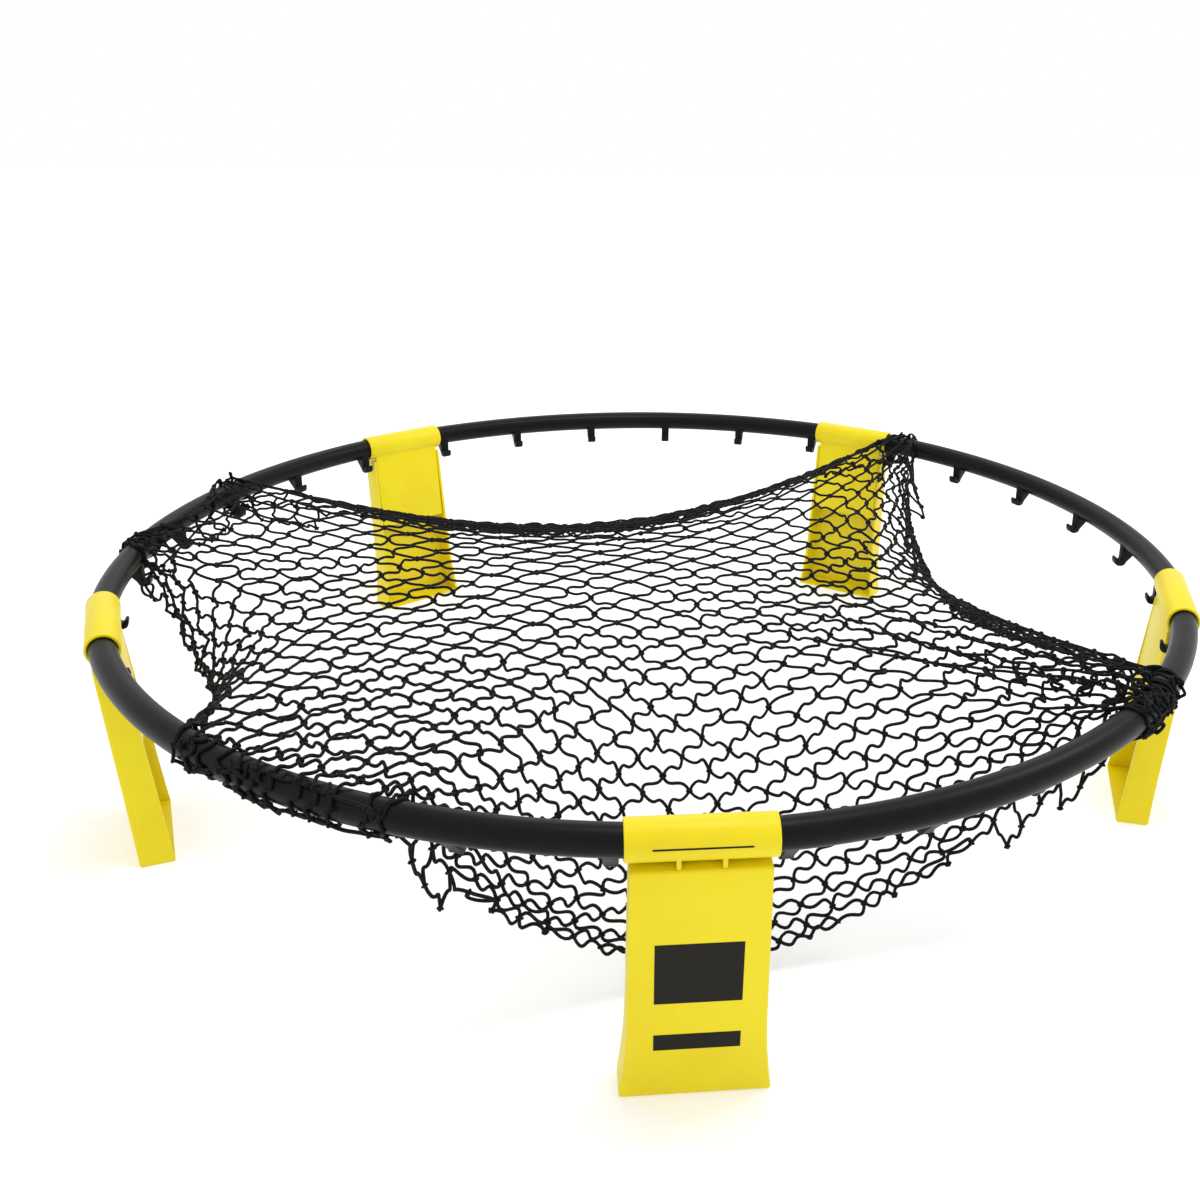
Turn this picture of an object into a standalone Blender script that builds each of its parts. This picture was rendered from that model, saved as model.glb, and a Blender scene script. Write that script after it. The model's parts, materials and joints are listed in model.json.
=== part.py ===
# Roundnet set: a five-part tubular ring on five folding legs, with a slack
# knotted net hung over it at five places.
# Metres, +Z up. The origin is on the ground under the centre of the ring,
# and the front leg stands on the -Y side.

import math

import bmesh
import bpy
from mathutils import Matrix, Vector

# Ring
RIM_RADIUS = 0.445        # centre of the ring to the middle of its tube
TUBE_RADIUS = 0.010
TUBE_WALL = 0.0024
TUBE_SIDES = 12
ARC_STEPS = 11            # stretches along the bent part of each rim segment
AXIS_HEIGHT = 0.1835      # middle of the tube above the ground
SEGMENT_GAP = 0.0004      # between the ends of two rim segments

# Spigot that joins two segments inside a leg's sleeve
SPIGOT_LENGTH = 0.060
SPIGOT_CLEARANCE = 0.0004

# Net hooks
HOOKS_PER_SEGMENT = 6
HOOK_FROM_SLEEVE = 0.0068 # first and last hook, along the tube from a sleeve's end
HOOK_THICKNESS = 0.0085
HOOK_DROP = 0.0130        # below the underside of the tube
HOOK_CURL = 0.0065        # how far the tip reaches past the fin
HOOK_BAR = 0.0042         # thickness of the curled tip
HOOK_ROOT_OUTER = 0.0040  # where the fin's sloping edge starts, out from the tube's middle

# Legs
LEG_COUNT = 5
FIRST_LEG = math.radians(-90.0)
SLEEVE_WIDTH = 0.0870
SLEEVE_WALL = 0.0022
SLEEVE_CLEARANCE = 0.0004
SLEEVE_SIDES = 28
PANEL_WALL = 0.0026
PANEL_WIDTH_TOP = 0.0810
PANEL_WIDTH_FOOT = 0.0936
FOOT_FLARE_START = 0.060  # height above the ground where the foot starts to widen
LEG_LEAN = math.radians(5.5)  # the whole leg leans in towards the centre by this much
TOP_FACE_OUT = 0.0112     # outer face at its top, out from the leaning middle line
FOOT_FACE_OUT = 0.0137    # and at the ground
INNER_FACE_IN = 0.0090    # inner face at its top, in from that line
FOOT_FACE_IN = 0.0115     # and at the ground
COVER_LENGTH = 0.0900     # of the inner cover, down from the hinge axis
COVER_WALL = 0.0024
LIP_GAP = 0.0020          # open line between the sleeve and the panel
TAB_SPACING = 0.0260      # of the two tabs that bridge that line
TAB_WIDTH = 0.0028
PART_GAP = 0.0003         # between pieces that touch

# Screws that hold the cover to the panel
SCREW_SPACING = 0.0600
SCREW_DROP = 0.0250       # below the hinge axis
SCREW_HEAD_RADIUS = 0.0022
SCREW_HEAD_DEPTH = 0.0012
SCREW_SHANK_RADIUS = 0.0013
SCREW_LENGTH = 0.0110
BOSS_RADIUS = 0.0036
SCREW_SIDES = 12

# Net, as a plain draped sheet. It reaches the ring at five places, where its clearance
# to the tube and its height over the tube's middle are these.
NET_THICKNESS = 0.0030
NET_CLEARANCE = 0.0050
NET_LIFT = 0.0040
NET_RINGS = 5
NET_STEPS_PER_POINT = 2
NET_MIDDLE = (math.radians(235), 0.036, 0.0325)  # angle, radius, drop below the tube's middle
# Its free edge: angle, how far in from the tube's middle line, drop below that line.
# None stands for a place where it hangs on the ring.
NET_EDGE = (
    (46, None, None), (55, 0.146, 0.0125), (72, 0.202, 0.0185), (101, 0.236, 0.0205),
    (126, 0.212, 0.0185), (147, 0.122, 0.0095), (156, None, None), (178, None, None),
    (189, 0.055, 0.0405), (198, 0.081, 0.0805), (212, 0.068, 0.0655), (230, None, None),
    (250, None, None), (255, 0.093, 0.1105), (266, 0.159, 0.1505), (287, 0.163, 0.1455),
    (301, 0.129, 0.1055), (316, None, None), (330, 0.109, 0.0225), (346, 0.165, 0.0405),
    (6, 0.181, 0.0425), (27, 0.144, 0.0355),
)

OVERLAP = 0.0010          # how far a cutter or an added shape runs past a face

sleeve_inner = TUBE_RADIUS + SLEEVE_CLEARANCE
sleeve_outer = sleeve_inner + SLEEVE_WALL
straight_half = SLEEVE_WIDTH / 2 + SEGMENT_GAP * 2
straight_angle = math.asin(straight_half / RIM_RADIUS)
hinge_radius = RIM_RADIUS * math.cos(straight_angle)
leg_step = math.tau / LEG_COUNT
first_hook = (straight_half + HOOK_FROM_SLEEVE) / RIM_RADIUS
panel_top = sleeve_outer + LIP_GAP
leg_length = AXIS_HEIGHT / math.cos(LEG_LEAN)


def clear_scene():
    for obj in list(bpy.data.objects):
        bpy.data.objects.remove(obj, do_unlink=True)


def new_collection(name):
    found = bpy.data.collections.get(name) or bpy.data.collections.new(name)
    if found.name not in bpy.context.scene.collection.children:
        bpy.context.scene.collection.children.link(found)
    return found


def material(name, colour, roughness, metallic=0.0):
    mat = bpy.data.materials.get(name)
    if mat:
        return mat
    mat = bpy.data.materials.new(name)
    mat.use_nodes = True
    shader = mat.node_tree.nodes["Principled BSDF"]
    shader.inputs["Base Color"].default_value = (*colour, 1.0)
    shader.inputs["Roughness"].default_value = roughness
    shader.inputs["Metallic"].default_value = metallic
    mat.diffuse_color = (*colour, 1.0)
    return mat


def mesh_object(name, mesh, collection, mat=None):
    obj = bpy.data.objects.new(name, mesh)
    collection.objects.link(obj)
    if mat:
        mesh.materials.clear()
        mesh.materials.append(mat)
    return obj


def from_bmesh(name, bm, collection, mat=None):
    bmesh.ops.recalc_face_normals(bm, faces=bm.faces)
    mesh = bpy.data.meshes.new(name)
    bm.to_mesh(mesh)
    bm.free()
    return mesh_object(name, mesh, collection, mat)


def smooth(obj, angle=35.0):
    obj.data.shade_smooth()
    obj.data.set_sharp_from_angle(angle=math.radians(angle))


def as_mesh(curve_obj, collection):
    """A curve object, made a mesh object with its caps welded."""
    depsgraph = bpy.context.evaluated_depsgraph_get()
    mesh = bpy.data.meshes.new_from_object(curve_obj.evaluated_get(depsgraph))
    bm = bmesh.new()
    bm.from_mesh(mesh)
    bmesh.ops.remove_doubles(bm, verts=bm.verts, dist=1e-6)
    bm.to_mesh(mesh)
    bm.free()
    name = curve_obj.name
    matrix = curve_obj.matrix_world.copy()
    bpy.data.objects.remove(curve_obj, do_unlink=True)
    obj = mesh_object(name, mesh, collection)
    obj.matrix_world = matrix
    return obj


def flat_plate(name, outline, thickness, collection):
    """A flat outline in X and Y, thick along Z about its plane."""
    curve = bpy.data.curves.new(name, "CURVE")
    curve.dimensions = "2D"
    curve.fill_mode = "BOTH"
    curve.extrude = thickness / 2
    spline = curve.splines.new("POLY")
    spline.points.add(len(outline) - 1)
    for point, (x, y) in zip(spline.points, outline):
        point.co = (x, y, 0.0, 1.0)
    spline.use_cyclic_u = True
    obj = bpy.data.objects.new(name, curve)
    collection.objects.link(obj)
    return as_mesh(obj, collection)


def add_cylinder(bm, radius, low, high, sides, matrix=None):
    """A cylinder along Z from low to high."""
    made = bmesh.ops.create_cone(bm, cap_ends=True, segments=sides, radius1=radius,
                                 radius2=radius, depth=high - low)
    bmesh.ops.translate(bm, verts=made["verts"], vec=(0, 0, (low + high) / 2))
    if matrix:
        bmesh.ops.transform(bm, verts=made["verts"], matrix=matrix)


def add_box(bm, low, high):
    low, high = Vector(low), Vector(high)
    size = high - low
    matrix = Matrix.Translation((low + high) / 2) @ Matrix.Diagonal((*size, 1.0))
    bmesh.ops.create_cube(bm, size=1.0, matrix=matrix)


def boolean(obj, other, operation):
    modifier = obj.modifiers.new(operation.lower(), "BOOLEAN")
    modifier.operation = operation
    modifier.object = other
    modifier.solver = "EXACT"
    other.hide_render = True
    other.display_type = "WIRE"


def apply_modifiers(obj):
    depsgraph = bpy.context.evaluated_depsgraph_get()
    mesh = bpy.data.meshes.new_from_object(obj.evaluated_get(depsgraph))
    obj.modifiers.clear()
    obj.data = mesh


def combine(obj, other, operation):
    """Joins other to obj or cuts it away, and removes other."""
    boolean(obj, other, operation)
    apply_modifiers(obj)
    bpy.data.objects.remove(other, do_unlink=True)


def leg_frame(number):
    """X along the ring, Y out from its centre, Z up, at the leg's hinge axis."""
    angle = FIRST_LEG + number * leg_step
    place = (hinge_radius * math.cos(angle), hinge_radius * math.sin(angle), AXIS_HEIGHT)
    return Matrix.Translation(place) @ Matrix.Rotation(angle - math.pi / 2, 4, "Z")


def leaning_frame(number):
    """The leg frame, turned about its X by the lean of the leg."""
    return leg_frame(number) @ Matrix.Rotation(-LEG_LEAN, 4, "X")


def ring_point(angle, radius=RIM_RADIUS, height=AXIS_HEIGHT):
    return Vector((radius * math.cos(angle), radius * math.sin(angle), height))


def rim_path(number):
    """From the middle of one leg's sleeve to the middle of the next: straight, bent, straight."""
    start = FIRST_LEG + number * leg_step
    frame_a, frame_b = leg_frame(number), leg_frame(number + 1)
    first, last = start + straight_angle, start + leg_step - straight_angle
    bend = [ring_point(first + (last - first) * i / ARC_STEPS) for i in range(ARC_STEPS + 1)]
    # the leg frame's X runs clockwise, so the next segment leaves on its -X side
    return [frame_a @ Vector((-SEGMENT_GAP / 2, 0, 0)), *bend,
            frame_b @ Vector((SEGMENT_GAP / 2, 0, 0))]


def hook_outline():
    """In the plane across the tube: X out from the ring's centre, Y up from the tube's middle."""
    in_wall = TUBE_RADIUS - TUBE_WALL / 2
    inner = -(TUBE_RADIUS - 0.0004)
    low = -(TUBE_RADIUS + HOOK_DROP)
    tip = inner - HOOK_CURL
    root_angles = [math.radians(a) for a in (197, 232, 268, 296)]
    root = [(in_wall * math.cos(a), in_wall * math.sin(a)) for a in root_angles]
    outer_root = (HOOK_ROOT_OUTER, -math.sqrt(TUBE_RADIUS ** 2 - HOOK_ROOT_OUTER ** 2) - 0.0004)
    return [
        *reversed(root),
        (inner, root[0][1] - 0.0016),
        (inner, low + HOOK_BAR + 0.0012),
        (inner - 0.0018, low + HOOK_BAR),
        (tip + HOOK_BAR * 0.8, low + HOOK_BAR + 0.0006),
        (tip + HOOK_BAR * 0.55, low + 0.0076),
        (tip, low + 0.0072),
        (tip + 0.0006, low + 0.0026),
        (tip + 0.0038, low),
        (inner + 0.0012, low),
        (inner + 0.0042, low + 0.0028),
        outer_root,
    ]


def hooks(number, collection):
    """All the hooks of a rim segment, as separate solids in one object."""
    start = FIRST_LEG + number * leg_step
    spread = leg_step - 2 * first_hook
    fin = flat_plate("hook", hook_outline(), HOOK_THICKNESS, collection)
    bm = bmesh.new()
    for i in range(HOOKS_PER_SEGMENT):
        angle = start + first_hook + spread * i / (HOOKS_PER_SEGMENT - 1)
        upright = Matrix.Rotation(math.pi / 2, 4, "X")
        matrix = Matrix.Translation(ring_point(angle)) @ Matrix.Rotation(angle, 4, "Z") @ upright
        before = len(bm.verts)
        bm.from_mesh(fin.data)
        bm.verts.ensure_lookup_table()
        bmesh.ops.transform(bm, verts=bm.verts[before:], matrix=matrix)
    bpy.data.objects.remove(fin, do_unlink=True)
    return from_bmesh(f"hooks_{number}", bm, collection)


def rim_segment(number, parts, cutters):
    curve = bpy.data.curves.new(f"rim_{number}", "CURVE")
    curve.dimensions = "3D"
    curve.bevel_depth = TUBE_RADIUS
    curve.bevel_resolution = (TUBE_SIDES - 4) // 2
    path = rim_path(number)
    spline = curve.splines.new("POLY")
    spline.points.add(len(path) - 1)
    for point, place in zip(spline.points, path):
        point.co = (*place, 1.0)
    obj = bpy.data.objects.new(f"rim_segment_{number + 1}", curve)
    parts.objects.link(obj)
    obj = as_mesh(obj, parts)
    obj.data.materials.append(material("black_plastic", (0.012, 0.012, 0.013), 0.38))
    shell = obj.modifiers.new("wall", "SOLIDIFY")
    shell.thickness = TUBE_WALL
    shell.offset = -1
    apply_modifiers(obj)
    combine(obj, hooks(number, cutters), "UNION")
    smooth(obj)
    return obj


def spigot(number, parts):
    """The plug inside leg number's sleeve, pushed into the tubes on both sides."""
    radius = TUBE_RADIUS - TUBE_WALL - SPIGOT_CLEARANCE
    bm = bmesh.new()
    along = Matrix.Rotation(math.pi / 2, 4, "Y")
    add_cylinder(bm, radius, -SPIGOT_LENGTH / 2, SPIGOT_LENGTH / 2, TUBE_SIDES, along)
    obj = from_bmesh(f"rim_spigot_{number + 1}", bm, parts,
                     material("black_plastic", (0.012, 0.012, 0.013), 0.38))
    obj.matrix_world = leg_frame(number)
    smooth(obj)
    return obj


def flare(drop):
    """0 above the foot's flare, rising smoothly to 1 at the ground; drop is measured from the axis."""
    share = (drop - (leg_length - FOOT_FLARE_START)) / FOOT_FLARE_START
    return max(0.0, share) ** 2


def leg_section(drop):
    """Half width, outer face and inner face of the leg at a drop below the hinge axis."""
    share = (drop - panel_top) / (leg_length - panel_top)
    widen = 0.35 * share + 0.65 * flare(drop)
    half = (PANEL_WIDTH_TOP + (PANEL_WIDTH_FOOT - PANEL_WIDTH_TOP) * widen) / 2
    outer = TOP_FACE_OUT + (FOOT_FACE_OUT - TOP_FACE_OUT) * share
    inner = -INNER_FACE_IN - (FOOT_FACE_IN - INNER_FACE_IN) * share
    return half, outer, inner


def level(y, height):
    """Z in the leaning frame, at Y, of a level plane at a height above the ground."""
    return (y * math.sin(LEG_LEAN) - (AXIS_HEIGHT - height)) / math.cos(LEG_LEAN)


def stacked(name, drops, floor, inset, collection, mat=None, outer_inset=0.0, reach_in=0.0):
    """A solid stacked from the leg's rectangles at these drops, set in from its side faces.
    It ends in a level face at the height called floor."""
    bm = bmesh.new()
    rings = []
    for drop in drops:
        half, outer, inner = leg_section(drop)
        half -= inset
        outer -= outer_inset
        inner -= reach_in
        corners = [(-half, inner), (half, inner), (half, outer), (-half, outer)]
        last = drop == drops[-1]
        rings.append([bm.verts.new((x, y, level(y, floor) if last else -drop))
                      for x, y in corners])
    for upper, lower in zip(rings, rings[1:]):
        for i in range(4):
            j = (i + 1) % 4
            bm.faces.new((upper[i], upper[j], lower[j], lower[i]))
    bm.faces.new(rings[0])
    bm.faces.new(rings[-1])
    return from_bmesh(name, bm, collection, mat)


def flare_drops(first, last):
    start = leg_length - FOOT_FLARE_START
    steps = [start + FOOT_FLARE_START * share for share in (0.0, 0.35, 0.65, 0.85)]
    return [first, *[s for s in steps if first < s < last], last]


def leg_panel(number, parts, cutters, yellow):
    """Outer panel of a leg with its side walls, top wall, foot and two screw bosses."""
    obj = stacked(f"leg_panel_{number + 1}", flare_drops(panel_top, leg_length), 0.0, 0.0,
                  parts, yellow)
    hollow = stacked("hollow", flare_drops(panel_top + PANEL_WALL, leg_length), PANEL_WALL,
                     PANEL_WALL, cutters, outer_inset=PANEL_WALL, reach_in=OVERLAP)
    combine(obj, hollow, "DIFFERENCE")
    # the top wall stops short of the cover that lies against it
    shelf = bmesh.new()
    half = PANEL_WIDTH_TOP / 2 - PANEL_WALL
    cover_front = -INNER_FACE_IN + COVER_WALL + PART_GAP
    add_box(shelf, (-half, -INNER_FACE_IN - OVERLAP, -panel_top - PANEL_WALL - OVERLAP),
            (half, cover_front, -panel_top + OVERLAP))
    combine(obj, from_bmesh("shelf", shelf, cutters), "DIFFERENCE")
    for side in (-1, 1):
        place = Matrix.Translation((side * SCREW_SPACING / 2, 0, -SCREW_DROP))
        across = place @ Matrix.Rotation(-math.pi / 2, 4, "X")
        bm = bmesh.new()
        outer = leg_section(SCREW_DROP)[1]
        add_cylinder(bm, BOSS_RADIUS, cover_front, outer - PANEL_WALL / 2, SCREW_SIDES, across)
        combine(obj, from_bmesh("boss", bm, cutters), "UNION")
        bm = bmesh.new()
        deep = -INNER_FACE_IN + SCREW_HEAD_DEPTH + SCREW_LENGTH + PART_GAP
        add_cylinder(bm, SCREW_SHANK_RADIUS + PART_GAP, cover_front - OVERLAP, deep,
                     SCREW_SIDES, across)
        combine(obj, from_bmesh("boss_hole", bm, cutters), "DIFFERENCE")
    obj.matrix_world = leaning_frame(number)
    return obj


def leg_cover(number, parts, cutters, yellow):
    """Sleeve round the tube with the flat inner cover that hangs from it."""
    bm = bmesh.new()
    along = Matrix.Rotation(math.pi / 2, 4, "Y")
    add_cylinder(bm, sleeve_outer, -SLEEVE_WIDTH / 2, SLEEVE_WIDTH / 2, SLEEVE_SIDES, along)
    obj = from_bmesh(f"leg_cover_{number + 1}", bm, parts, yellow)
    half = PANEL_WIDTH_TOP / 2 - PANEL_WALL - PART_GAP
    plate = bmesh.new()
    add_box(plate, (-half, -INNER_FACE_IN, -COVER_LENGTH),
            (half, -INNER_FACE_IN + COVER_WALL, -sleeve_inner / 2))
    combine(obj, from_bmesh("plate", plate, cutters), "UNION")
    for side in (-1, 1):
        tab = bmesh.new()
        middle = side * TAB_SPACING / 2
        add_box(tab, (middle - TAB_WIDTH / 2, 0.0, -panel_top + PART_GAP),
                (middle + TAB_WIDTH / 2, TOP_FACE_OUT - LIP_GAP / 2, -sleeve_inner / 2))
        combine(obj, from_bmesh("tab", tab, cutters), "UNION")
    bore = bmesh.new()
    add_cylinder(bore, sleeve_inner, -SLEEVE_WIDTH / 2 - OVERLAP, SLEEVE_WIDTH / 2 + OVERLAP,
                 SLEEVE_SIDES, along)
    combine(obj, from_bmesh("bore", bore, cutters), "DIFFERENCE")
    for side in (-1, 1):
        place = Matrix.Translation((side * SCREW_SPACING / 2, 0, -SCREW_DROP))
        across = place @ Matrix.Rotation(-math.pi / 2, 4, "X")
        hole = bmesh.new()
        add_cylinder(hole, SCREW_HEAD_RADIUS + PART_GAP, -INNER_FACE_IN - OVERLAP,
                     -INNER_FACE_IN + SCREW_HEAD_DEPTH + PART_GAP, SCREW_SIDES, across)
        combine(obj, from_bmesh("head_seat", hole, cutters), "DIFFERENCE")
        hole = bmesh.new()
        add_cylinder(hole, SCREW_SHANK_RADIUS + PART_GAP, -INNER_FACE_IN,
                     -INNER_FACE_IN + COVER_WALL + OVERLAP, SCREW_SIDES, across)
        combine(obj, from_bmesh("shank_hole", hole, cutters), "DIFFERENCE")
    obj.matrix_world = leaning_frame(number)
    smooth(obj)
    return obj


def leg_screw(number, side, parts, steel):
    across = Matrix.Rotation(-math.pi / 2, 4, "X")
    bm = bmesh.new()
    face = -INNER_FACE_IN + 0.0004
    add_cylinder(bm, SCREW_HEAD_RADIUS, face, face + SCREW_HEAD_DEPTH - 0.0004, SCREW_SIDES, across)
    name = "left" if side < 0 else "right"
    obj = from_bmesh(f"leg_screw_{number + 1}_{name}", bm, parts, steel)
    shank = bmesh.new()
    add_cylinder(shank, SCREW_SHANK_RADIUS, face + SCREW_HEAD_DEPTH / 3, face + SCREW_LENGTH,
                 SCREW_SIDES, across)
    combine(obj, from_bmesh("shank", shank, parts), "UNION")
    obj.matrix_world = leaning_frame(number) @ Matrix.Translation(
        (side * SCREW_SPACING / 2, 0, -SCREW_DROP))
    smooth(obj)
    return obj


def net_edge_points():
    points = []
    for degrees, inset, drop in NET_EDGE:
        if inset is None:
            inset = TUBE_RADIUS + NET_CLEARANCE
            drop = -NET_LIFT
        points.append(ring_point(math.radians(degrees), RIM_RADIUS - inset, AXIS_HEIGHT - drop))
    return points


def smooth_loop(points, steps):
    """A closed Catmull-Rom curve through the points."""
    count = len(points)
    curve = []
    for i in range(count):
        a, b, c, d = (points[(i + k - 1) % count] for k in range(4))
        for step in range(steps):
            t = step / steps
            curve.append(0.5 * (2 * b + (c - a) * t + (2 * a - 5 * b + 4 * c - d) * t * t
                                + (3 * b - a - 3 * c + d) * t ** 3))
    return curve


def net(parts):
    """A sheet from its middle out to its edge, which lifts towards the ring near it."""
    edge = smooth_loop(net_edge_points(), NET_STEPS_PER_POINT)
    angle, radius, drop = NET_MIDDLE
    middle = ring_point(angle, radius, AXIS_HEIGHT - drop)
    bm = bmesh.new()
    centre = bm.verts.new(middle)
    rings = []
    for k in range(1, NET_RINGS + 1):
        share = k / NET_RINGS
        ring = []
        for point in edge:
            place = middle.lerp(point, share)
            rise = min(point.z, AXIS_HEIGHT + NET_LIFT) - middle.z
            place.z = middle.z + rise * share ** 1.5
            ring.append(bm.verts.new(place))
        rings.append(ring)
    count = len(edge)
    for i in range(count):
        j = (i + 1) % count
        bm.faces.new((centre, rings[0][i], rings[0][j]))
        for inner, outer in zip(rings, rings[1:]):
            bm.faces.new((inner[i], outer[i], outer[j], inner[j]))
    obj = from_bmesh("net", bm, parts, material("net_cord", (0.015, 0.015, 0.016), 0.8))
    sheet = obj.modifiers.new("thickness", "SOLIDIFY")
    sheet.thickness = NET_THICKNESS
    sheet.offset = 0
    return obj


def main():
    clear_scene()
    parts = new_collection("roundnet_set")
    cutters = new_collection("cutters")
    yellow = material("yellow_plastic", (0.86, 0.74, 0.03), 0.42)
    steel = material("screw_steel", (0.30, 0.28, 0.16), 0.45, 0.6)
    for number in range(LEG_COUNT):
        rim_segment(number, parts, cutters)
        spigot(number, parts)
        leg_panel(number, parts, cutters, yellow)
        leg_cover(number, parts, cutters, yellow)
        for side in (-1, 1):
            leg_screw(number, side, parts, steel)
    net(parts)


main()
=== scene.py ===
import json
import math

import bmesh
import bpy
import numpy as np
from mathutils import Matrix, Vector


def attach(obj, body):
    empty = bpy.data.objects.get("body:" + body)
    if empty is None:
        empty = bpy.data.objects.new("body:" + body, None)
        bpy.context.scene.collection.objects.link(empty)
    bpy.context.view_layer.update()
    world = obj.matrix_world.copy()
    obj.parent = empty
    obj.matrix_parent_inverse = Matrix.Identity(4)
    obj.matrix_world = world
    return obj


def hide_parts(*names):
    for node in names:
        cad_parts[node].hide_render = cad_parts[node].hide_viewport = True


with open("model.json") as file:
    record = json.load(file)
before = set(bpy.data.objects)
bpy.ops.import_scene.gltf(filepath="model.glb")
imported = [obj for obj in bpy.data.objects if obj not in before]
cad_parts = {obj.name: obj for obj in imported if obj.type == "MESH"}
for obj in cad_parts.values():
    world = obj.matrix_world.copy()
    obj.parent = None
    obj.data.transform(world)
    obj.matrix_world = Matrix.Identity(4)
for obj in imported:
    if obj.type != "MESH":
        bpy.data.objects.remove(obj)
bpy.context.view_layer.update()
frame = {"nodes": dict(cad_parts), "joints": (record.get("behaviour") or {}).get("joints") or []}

print("frame loaded:", len(frame["nodes"]), "nodes")

joints = {joint["child"]: joint for joint in frame["joints"]}
legCount = len(joints)
legTurn = math.tau / legCount
hingeHeight = joints["leg_1"]["pos_m"][2]
hingeRadius = math.hypot(*joints["leg_1"]["pos_m"][:2])


# camera

cameraSetup = {
    "place": (-0.0683, -1.0452, 0.5863),
    "looks": (0.0987, 0.9413, -0.3228),
    "roll": 0.0184,
    "lens": 37.94,
    "film": 36.0,
    "shift": (-0.0819, -0.0806),
}


def addCamera(setup):
    data = bpy.data.cameras.new("mainCamera")
    data.lens = setup["lens"]
    data.sensor_width = setup["film"]
    data.shift_x, data.shift_y = setup["shift"]
    data.clip_start = 0.01
    camera = bpy.data.objects.new("mainCamera", data)
    ahead = Vector(setup["looks"]).normalized()
    level = ahead.cross(Vector((0, 0, 1))).normalized()
    upright = level.cross(ahead)
    right = level * math.cos(setup["roll"]) + upright * math.sin(setup["roll"])
    up = upright * math.cos(setup["roll"]) - level * math.sin(setup["roll"])
    turn = Matrix((right, up, -ahead)).transposed().to_4x4()
    camera.matrix_world = Matrix.Translation(setup["place"]) @ turn
    bpy.context.scene.collection.objects.link(camera)
    bpy.context.scene.camera = camera


addCamera(cameraSetup)
print("camera set")


# shader helpers

class Wire:
    # a socket that can stand in a sum: each operator adds one Math node

    def __init__(self, finish, socket):
        self.finish = finish
        self.socket = socket

    def maths(self, operation, first, second=None):
        values = {0: first} if second is None else {0: first, 1: second}
        return self.finish.node("Math", {"operation": operation}, values)["Value"]

    def __add__(self, other):
        return self.maths("ADD", self, other)

    __radd__ = __add__

    def __mul__(self, other):
        return self.maths("MULTIPLY", self, other)

    __rmul__ = __mul__

    def __sub__(self, other):
        return self.maths("SUBTRACT", self, other)

    def __rsub__(self, other):
        return self.maths("SUBTRACT", other, self)

    def __truediv__(self, other):
        return self.maths("DIVIDE", self, other)

    def sine(self):
        return self.maths("SINE", self)


class Finish:
    # one material: its own nodes, and the shader that they feed

    def __init__(self, name, **shaderValues):
        self.material = bpy.data.materials.new(name)
        self.material.use_nodes = True
        self.tree = self.material.node_tree
        self.shader = self.tree.nodes["Principled BSDF"]
        for socket, value in shaderValues.items():
            self.shader.inputs[socket.replace("_", " ")].default_value = value
        self.material.diffuse_color = self.shader.inputs["Base Color"].default_value

    def node(self, kind, settings=None, sockets=None):
        made = self.tree.nodes.new("ShaderNode" + kind)
        for name, value in (settings or {}).items():
            if name == "stops":
                self.setStops(made.color_ramp, value)
            else:
                setattr(made, name, value)
        for name, value in (sockets or {}).items():
            self.plug(value, made.inputs[name])
        return {out.name: Wire(self, out) for out in reversed(made.outputs) if out.enabled}

    def setStops(self, ramp, stops):
        while len(ramp.elements) < len(stops):
            ramp.elements.new(0.5)
        for element, (place, colour) in zip(ramp.elements, stops):
            element.position = place
            element.color = (*colour, 1.0) if len(colour) == 3 else (colour[0],) * 3 + (1.0,)

    def plug(self, value, socket):
        if isinstance(value, Wire):
            self.tree.links.new(value.socket, socket)
        else:
            socket.default_value = value

    def place(self):
        return self.node("TexCoord")["Object"]

    def noise(self, place, scale, detail=3.0, rough=0.5):
        return self.node("TexNoise", None, {"Vector": place, "Scale": scale, "Detail": detail,
                                            "Roughness": rough})["Fac"]

    def range(self, value, low, high, newLow, newHigh):
        return self.node("MapRange", None, {"Value": value, "From Min": low, "From Max": high,
                                            "To Min": newLow, "To Max": newHigh})["Result"]

    def blend(self, share, first, second):
        return self.node("Mix", {"data_type": "RGBA"}, {0: share, 6: first, 7: second})["Result"]

    def feed(self, **wires):
        for name, value in wires.items():
            self.plug(value, self.shader.inputs[name.replace("_", " ")])

    def bump(self, height, distance, strength=1.0):
        made = self.node("Bump", None, {"Height": height, "Distance": distance,
                                        "Strength": strength})
        self.plug(made["Normal"], self.shader.inputs["Normal"])


def solid(colour):
    return (*colour, 1.0)


# materials

blackLook = {
    "base": (0.0025, 0.0026, 0.0030),
    "worn": (0.0080, 0.0081, 0.0088),
    "gloss": (0.30, 0.42),
    "grainSize": 0.0006,
    "grainDepth": 0.00004,
}

yellowLook = {
    "base": (0.790, 0.650, 0.004),
    "deep": (0.740, 0.585, 0.003),
    "scuff": (0.810, 0.700, 0.045),
    "gloss": (0.34, 0.46),
    "grainSize": 0.0009,
    "grainDepth": 0.00003,
}

cordLook = {
    "base": (0.0028, 0.0028, 0.0031),
    # fuzz is the lighter cord colour: real fibre fuzz, and also painted highlight on the strand
    # crowns
    "fuzz": (0.0090, 0.0090, 0.0098),
    "strands": 3,
    "lay": 0.0065,
    "twistDepth": 0.00022,
}

steelLook = {
    "base": (0.030, 0.029, 0.026),
    "bright": (0.110, 0.108, 0.100),
    "gloss": (0.28, 0.45),
    "grainDepth": 0.00002,
}

inkLook = {
    "base": (0.0060, 0.0056, 0.0050),
    "thin": (0.0180, 0.0165, 0.0110),
    "grainDepth": 0.00002,
}

floorLook = {
    "base": (0.79, 0.79, 0.79),
    "pale": (0.81, 0.81, 0.81),
    "glow": (1.0, 1.0, 1.0),
}


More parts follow.
